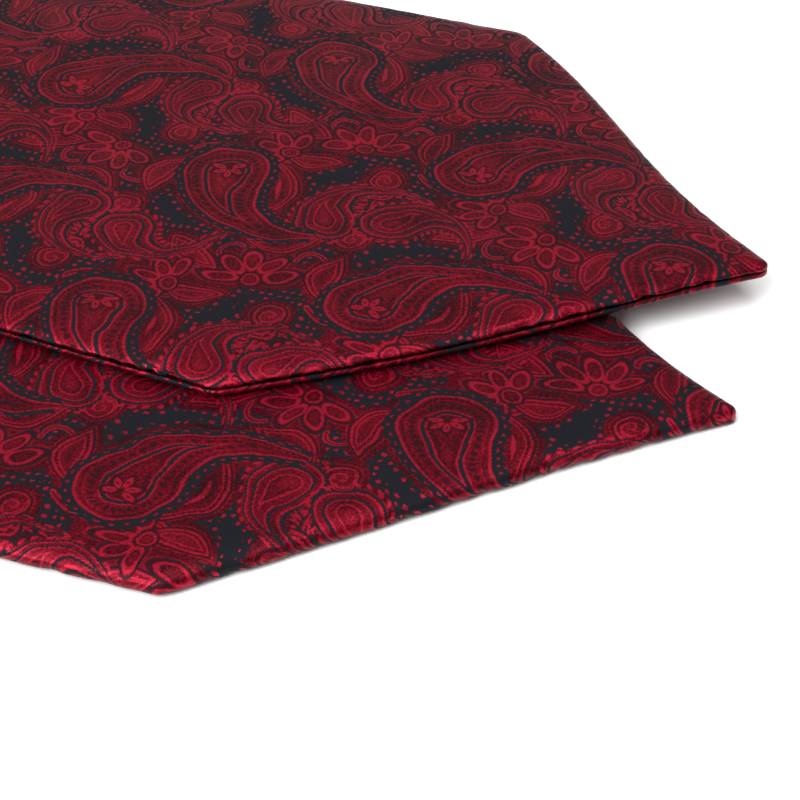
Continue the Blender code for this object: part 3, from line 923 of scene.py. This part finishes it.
def repeat_tone(place):
    """The tone of the woven repeat at a place on the cloth."""
    big, big_run = paisley(place, BIG_PAISLEY)
    hooked = [paisley(place, motif) for motif in HOOKED_PAISLEYS]
    flowers = [flower(place, motif) for motif in FLOWERS]
    leaves = [leaf(place, motif) for motif in LEAVES]
    scrolls = [scroll(place, motif) for motif in SCROLLS]
    nearest = big - SCALLOPS_OUT
    for distance in [h[0] for h in hooked] + [f[0] for f in flowers] + leaves + [s[1] for s in scrolls]:
        nearest = least(nearest, distance)
    tone = band_values(nearest, "ground")[0]
    dots = reach(wrapped(place[0], BEAD_PITCH), wrapped(place[1], BEAD_PITCH)) - DOT_RADIUS
    tone = lay(tone, greatest(dots, size(nearest - DOTS_OUT) - DOTS_WIDTH), "bead")
    for motif in STEMS:
        tone = lay(tone, stem(place, motif), "stem")
    for motif in CROOKS:
        tone = lay(tone, crook(place, motif), "stem")
    for distance in leaves:
        tone = lay(tone, distance, "leaf")
    for line, outside in scrolls:
        tone = lay(tone, outside, "head")
        tone = lay(tone, line + greatest(outside + SCROLL_LINE_INSET, 0.0), "line")
    for petals, middle in flowers:
        tone = lay(tone, petals, "petal")
        tone = lay(tone, middle - HEAD_RADIUS, "head")
    for outside, run in hooked:
        tone = lay(tone, beads(run, outside - BEAD_ROW_OUT, BEAD_RADIUS), "bead")
        tone = lay(tone, outside, "hooked paisley")
    waves = size(sine(big_run * (math.pi / SCALLOP_RUN)))
    tone = lay(tone, waves.math("MULTIPLY_ADD", SCALLOP_DEPTH, big - SCALLOPS_OUT), "scallop")
    tone = lay(tone, big, "big paisley")
    tone = lay(tone, beads(big_run, big + DARK_BEADS_IN, DARK_BEAD_RADIUS), "dark bead")
    return lay(tone, flower(place, FAN)[0], "petal")


def cloth_place(tree, cloth):
    """The along and the across of a place on the cloth."""
    parts = tree.nodes.new("ShaderNodeSeparateXYZ")
    tree.links.new(cloth, parts.inputs["Vector"])
    return Value(tree, parts.outputs["X"]), Value(tree, parts.outputs["Y"])


def noise(tree, cloth, scale, amount):
    """Noise around zero."""
    texture = tree.nodes.new("ShaderNodeTexNoise")
    texture.noise_dimensions = "2D"
    texture.inputs["Scale"].default_value = scale
    texture.inputs["Detail"].default_value = NOISE_DETAIL
    tree.links.new(cloth, texture.inputs["Vector"])
    return Value(tree, texture.outputs["Fac"]).math("MULTIPLY_ADD", 2.0 * amount, -amount)


def twill_lines(tree, cloth):
    """The slanting lines of the weave, around zero."""
    along, across = cloth_place(tree, cloth)
    return sine((along + across) * (2.0 * math.pi / TWILL_PITCH))


def paisley_group():
    """The node group of the woven repeat: cloth coordinates in, tone out."""
    group, given, out = new_group("paisley_repeat", {"Cloth": "Vector"}, {"Tone": "Float"})
    along, across = (part.math("SNAP", YARN_STEP) for part in cloth_place(group, given["Cloth"]))
    loose = noise(group, given["Cloth"], DRAWN_PER_MM, DRAWN_LOOSELY)
    tone = repeat_tone((along + loose, across - loose))
    group.links.new(tone.socket, out["Tone"])
    return group


def weave_group():
    """The node group of the weave: tone and cloth coordinates in; colour and gloss out."""
    outputs = {"Color": "Color", "Roughness": "Float", "Metallic": "Float", "Coat Weight": "Float"}
    group, given, out = new_group("satin_weave", {"Cloth": "Vector", "Tone": "Float"}, outputs)
    cloth = given["Cloth"]
    tone = Value(group, given["Tone"])
    uneven = noise(group, cloth, GRAIN_PER_MM, GRAIN_TONE) + noise(group, cloth, CLOUD_PER_MM, CLOUD_TONE)
    uneven = twill_lines(group, cloth).math("MULTIPLY_ADD", TWILL_TONE, uneven)
    red = tone.math("MULTIPLY", RED_RISE)
    red.socket.node.use_clamp = True
    woven = uneven.math("MULTIPLY_ADD", red, tone)
    group.links.new(ramp_at(woven, [(*row, 1.0) for row in TONE_COLOURS])["Color"], out["Color"])
    group.links.new(red.math("MULTIPLY_ADD", -RED_SMOOTHER, GROUND_ROUGHNESS).socket, out["Roughness"])
    group.links.new((red * RED_METALLIC).socket, out["Metallic"])
    group.links.new((red * RED_COAT).socket, out["Coat Weight"])
    return group


def relief_group():
    """The node group of the weave's relief. It leaves out the motifs."""
    group, given, out = new_group("weave_relief", {"Cloth": "Vector"}, {"Height": "Float"})
    grain = noise(group, given["Cloth"], GRAIN_PER_MM, 1.0)
    relief = twill_lines(group, given["Cloth"]).math("MULTIPLY_ADD", TWILL_RELIEF, grain)
    group.links.new(relief.socket, out["Height"])
    return group


def thread_shading_group():
    """The node group of the thread's twisted plies, painted as bands of shade and highlight: place in,
    colour out.
    """
    group, given, out = new_group("thread_ply_shade_and_highlight", {"Place": "Vector"}, {"Color": "Color"})
    # Diagonal bands of painted shade and painted highlight across the plies.
    wave = group.nodes.new("ShaderNodeTexWave")
    wave.bands_direction = "DIAGONAL"
    wave.inputs["Scale"].default_value = THREAD_PER_METRE
    group.links.new(given["Place"], wave.inputs["Vector"])
    ply_shading = Value(group, wave.outputs["Fac"])
    group.links.new(ramp_at(ply_shading, [(*row, 1.0) for row in THREAD_SHADE_TO_HIGHLIGHT])["Color"], out["Color"])
    return group


def new_material(name, looks):
    """A material, its node tree and its shader, with the looks set on the shader."""
    material = bpy.data.materials.new(name)
    material.use_nodes = True
    shader = material.node_tree.nodes["Principled BSDF"]
    for socket, value in looks.items():
        shader.inputs[socket].default_value = value
    return material, material.node_tree, shader


PAISLEY = paisley_group()
WEAVE = weave_group()
RELIEF = relief_group()


def jacquard(part):
    """The scarf's cloth, with its repeat moved along and across one part of the scarf."""
    material, tree, shader = new_material(f"{part}_jacquard", CLOTH_LOOKS)
    uv = tree.nodes.new("ShaderNodeUVMap")
    uv.uv_map = "cloth"
    mapping = tree.nodes.new("ShaderNodeMapping")
    mapping.inputs["Location"].default_value = (*REPEAT_SHIFTS[part], 0.0)
    tree.links.new(uv.outputs["UV"], mapping.inputs["Vector"])
    cloth = mapping.outputs["Vector"]
    tone = use_group(tree, PAISLEY, {"Cloth": cloth})["Tone"]
    weave = use_group(tree, WEAVE, {"Cloth": cloth, "Tone": tone})
    bump = tree.nodes.new("ShaderNodeBump")
    bump.inputs["Distance"].default_value = RELIEF_HEIGHT * MM
    bump.inputs["Strength"].default_value = RELIEF_STRENGTH
    tree.links.new(use_group(tree, RELIEF, {"Cloth": cloth})["Height"], bump.inputs["Height"])
    tree.links.new(weave["Color"], shader.inputs["Base Color"])
    for gloss in ("Roughness", "Metallic", "Coat Weight"):
        tree.links.new(weave[gloss], shader.inputs[gloss])
    tree.links.new(bump.outputs["Normal"], shader.inputs["Normal"])
    return material


def thread_material():
    """The wine silk thread of the stitches, with painted shade and painted highlights along its twisted
    plies.
    """
    material, tree, shader = new_material("silk_thread", THREAD_LOOKS)
    place = tree.nodes.new("ShaderNodeTexCoord").outputs["Object"]
    colour = use_group(tree, thread_shading_group(), {"Place": place})["Color"]
    tree.links.new(colour, shader.inputs["Base Color"])
    return material


SILK_THREAD = thread_material()


def stitch_places():
    """The middle of each stitch on a blade, and whether it runs across the blade."""
    random = np.random.default_rng(STITCH_SEED)
    places = []
    for row in STITCH_ROWS_ALONG:
        for across in np.arange(-STITCH_ROW_HALF_WIDTH, STITCH_ROW_HALF_WIDTH, STITCH_PITCH):
            off_row = random.uniform(-STITCH_OFF_ROW, STITCH_OFF_ROW)
            along_row = random.uniform(-STITCH_ALONG_ROW, STITCH_ALONG_ROW)
            places.append((row + off_row, across + along_row, True))
    for line in PLEAT_LINES:
        for along in np.arange(PLEAT_STITCHES_FROM, PLEAT_STITCHES_TO, STITCH_PITCH):
            across = line * float(half_width(np.array(along))) - PLEAT_STITCHES_BESIDE
            along_row = random.uniform(-STITCH_ALONG_ROW, STITCH_ALONG_ROW)
            off_row = random.uniform(-STITCH_OFF_PLEAT, STITCH_OFF_PLEAT)
            places.append((along + along_row, across + off_row, False))
    return places


def pleat_stitches(name, leg, panel):
    """Rows of short stitches, each half sunk in the cloth of a blade's upper face."""
    cloth = BVHTree.FromObject(panel, bpy.context.evaluated_depsgraph_get())
    shape = Matrix.Diagonal((0.5 * STITCH_LENGTH * MM, STITCH_RADIUS * MM, STITCH_RADIUS * MM, 1.0))
    bm = bmesh.new()
    for along, across, crosswise in stitch_places():
        step = (0.0, 1.0) if crosswise else (1.0, 0.0)
        ends = leg.place(np.array([along, along + step[0]]), np.array([across, across + step[1]]))
        plan = (ends[0] - PLAN_ORIGIN[:2]) * MM
        heading = math.atan2(ends[1][1] - ends[0][1], ends[1][0] - ends[0][0])
        spot, normal = cloth.ray_cast(Vector((*plan, LOOK_DOWN_FROM * MM)), -UPWARD)[:2]
        tilt = UPWARD.rotation_difference(normal).to_matrix().to_4x4()
        where = Matrix.Translation(spot) @ tilt @ Matrix.Rotation(heading, 4, "Z") @ shape
        bmesh.ops.create_uvsphere(
            bm, u_segments=STITCH_SIDES, v_segments=STITCH_RINGS, radius=1.0, matrix=where
        )
    mesh = mesh_of(name, bm)
    mesh.shade_smooth()
    mesh.materials.append(SILK_THREAD)
    piece = piece_of(name, mesh)
    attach(piece, "root")


def finish_piece(piece, material, node):
    """Gives a cloth piece its wall and material, and its place in the frame."""
    piece.data.materials.append(material)
    solidify = piece.modifiers.new("wall", "SOLIDIFY")
    solidify.thickness = CLOTH_WALL * MM
    solidify.offset = -1.0
    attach(piece, "root")
    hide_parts(node)


def make_scarf():
    """The four panels, the neckband and the stitches."""
    upper_cloth = jacquard("upper_blade")
    lower_cloth = jacquard("lower_blade")
    band_cloth = jacquard("neckband")
    upper_face = blade_panel(
        "upper_blade_face", UPPER, support_height, UPPER_FOLD, 0.0, pleat_depth, UPPER_CREASES,
        UPPER_PUCKERS, True
    )
    upper_backing = blade_panel(
        "upper_blade_backing", UPPER, support_height, BEAD, -BEAD_STANDS_OUT, no_pleats, (),
        BEAD_PUCKERS, False
    )
    lower_backing = blade_panel(
        "lower_blade_backing", LOWER, on_floor, LOWER_FOLD, 0.0, underside_pleat_depth, LOWER_CREASES,
        LOWER_PUCKERS, True
    )
    lower_face = blade_panel(
        "lower_blade_face", LOWER, on_floor, BEAD, TUCKED_IN, no_pleats, (), BEAD_PUCKERS, False
    )
    for piece, cloth, node, record_slot in (
        (upper_face, upper_cloth, "upper_blade_front", "face_cloth"),
        (upper_backing, upper_cloth, "upper_blade_back", "under_cloth"),
        (lower_backing, lower_cloth, "lower_blade_back", "face_cloth"),
        (lower_face, lower_cloth, "lower_blade_front", "under_cloth"),
    ):
        finish_piece(piece, cloth, node)
    band = neckband()
    finish_piece(band, band_cloth, "neckband")
    pleat_stitches("upper_pleat_stitches", UPPER, upper_face)
    pleat_stitches("lower_pleat_stitches", LOWER, lower_backing)


def make_floor():
    """A plain pale floor just under the scarf."""
    bm = bmesh.new()
    bmesh.ops.create_grid(bm, x_segments=1, y_segments=1, size=FLOOR_HALF_WIDTH)
    floor = piece_of("floor", mesh_of("floor", bm))
    floor.location.z = -FLOOR_DROP
    floor.data.materials.append(new_material("pale_floor", FLOOR_LOOKS)[0])


def set_camera():
    """A long lens that looks down on the two points from the near side, as in the photo."""
    camera = piece_of("camera", bpy.data.cameras.new("camera"))
    camera.data.lens = LENS
    camera.data.sensor_width = SENSOR_WIDTH
    camera.data.clip_start = CLIP_FROM * MM
    across_floor = math.cos(CAMERA_PITCH) * direction(CAMERA_HEADING)
    ahead = Vector((*across_floor, -math.sin(CAMERA_PITCH)))
    turn = ahead.to_track_quat("-Z", "Y").to_matrix() @ Matrix.Rotation(CAMERA_ROLL, 3, "Z")
    stand_at = Vector((*CAMERA_FOOT, CAMERA_HEIGHT)) * MM
    camera.matrix_world = Matrix.Translation(stand_at) @ turn.to_4x4()
    bpy.context.scene.camera = camera


def set_lights():
    """An even pale world and two large soft lights, overhead and in front."""
    world = bpy.data.worlds.new("studio")
    world.use_nodes = True
    background = world.node_tree.nodes["Background"]
    background.inputs["Color"].default_value = WORLD_COLOUR
    background.inputs["Strength"].default_value = WORLD_STRENGTH
    bpy.context.scene.world = world
    for soft in SOFT_LIGHTS:
        light = bpy.data.lights.new(soft["name"], "AREA")
        light.shape = "SQUARE"
        light.size = soft["width"]
        light.energy = soft["watts"]
        lamp = piece_of(soft["name"], light)
        lamp.location = soft["place"]
        lamp.rotation_euler = (LIGHTS_AIM - lamp.location).to_track_quat("-Z", "Y").to_euler()
    bpy.context.scene.view_settings.view_transform = "Standard"


make_scarf()
make_floor()
set_camera()
set_lights()
